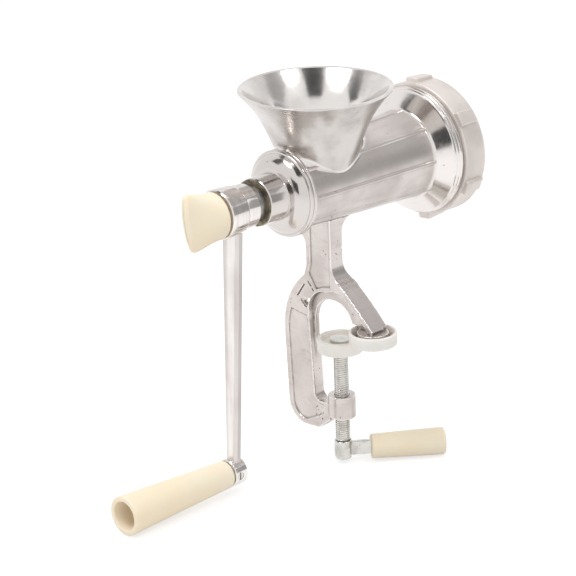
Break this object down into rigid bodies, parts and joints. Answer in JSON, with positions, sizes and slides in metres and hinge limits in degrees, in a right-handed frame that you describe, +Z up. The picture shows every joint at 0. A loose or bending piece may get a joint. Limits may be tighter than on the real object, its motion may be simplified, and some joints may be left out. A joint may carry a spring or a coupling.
{
  "type": "manual meat grinder",
  "caption": "Hand-cranked meat grinder with a funnel hopper, worm barrel, perforated outlet plate under a lugged ring nut, and a screw clamp for a table edge.",
  "frame": {"origin": "middle of the table pad's underside, the face that rests on the table", "axes": "+X along the barrel towards the outlet, +Y inwards under the barrel, +Z up"},
  "size_m": [0.2828, 0.1101, 0.256],
  "materials": {
    "polished_aluminium": "polished",
    "cast_aluminium": "satin casting",
    "matte_aluminium": "matte casting",
    "zinc_steel": "zinc plated",
    "bare_steel": "ground",
    "bush_bronze": "dull",
    "cream_plastic": "smooth",
    "white_plastic": "milky"
  },
  "bodies": {
    "grinder": {"hopper": "polished_aluminium", "barrel": "cast_aluminium", "clamp_frame": "cast_aluminium", "neck_bush": "bush_bronze", "plate_key": "bare_steel", "mincing_plate": "bare_steel", "table_pad": "white_plastic"},
    "drive": {"drive_shaft": "bare_steel", "worm": "cast_aluminium", "worm_thrust_washer": "cream_plastic", "cross_knife": "bare_steel"},
    "crank": {"crank_arm": "polished_aluminium", "eye_screw": "zinc_steel", "grip_spindle": "bare_steel", "grip_washer": "zinc_steel"},
    "grip": {"crank_grip": "cream_plastic"},
    "wing": {"wing_head": "cream_plastic", "wing_stud": "zinc_steel", "wing_washer": "zinc_steel"},
    "ring": {"ring_nut": "matte_aluminium"},
    "pad": {"screw_pad": "white_plastic", "pad_screw": "zinc_steel", "clamp_screw": "zinc_steel"},
    "screw": {"screw_collar": "zinc_steel", "clamp_tang": "zinc_steel", "clamp_grip": "cream_plastic"}
  },
  "joints": [
    {"name": "drive_turn", "type": "hinge", "parent": "grinder", "child": "drive", "pos_m": [-0.003, 0.043, 0.1015], "axis": [1, 0, 0], "continuous": true},
    {"name": "crank_pull", "type": "slide", "parent": "drive", "child": "crank", "axis": [-1, 0, 0], "range_m": [0, 0.012]},
    {"name": "wing_turn", "type": "hinge", "parent": "crank", "child": "wing", "pos_m": [-0.093, 0.043, 0.1015], "axis": [-1, 0, 0], "range_deg": [-5, 3461]},
    {"name": "grip_turn", "type": "hinge", "parent": "crank", "child": "grip", "pos_m": [-0.08758, 0.05054, -0.07834], "axis": [1, 0, 0], "continuous": true},
    {"name": "ring_turn", "type": "hinge", "parent": "grinder", "child": "ring", "pos_m": [0.097, 0.043, 0.1015], "axis": [1, 0, 0], "range_deg": [0, 90]},
    {"name": "pad_slide", "type": "slide", "parent": "grinder", "child": "pad", "axis": [0, 0, 1], "range_m": [-0.0305, 0.003]},
    {"name": "screw_turn", "type": "hinge", "parent": "pad", "child": "screw", "pos_m": [0, 0.0305, -0.0125], "axis": [0, 0, 1], "range_deg": [-7325, 725]}
  ],
  "couplings": [
    {"joint": "wing_turn", "follows": "crank_pull", "rad_per_m": 5026.5},
    {"joint": "screw_turn", "follows": "pad_slide", "rad_per_m": 4188.8}
  ]
}
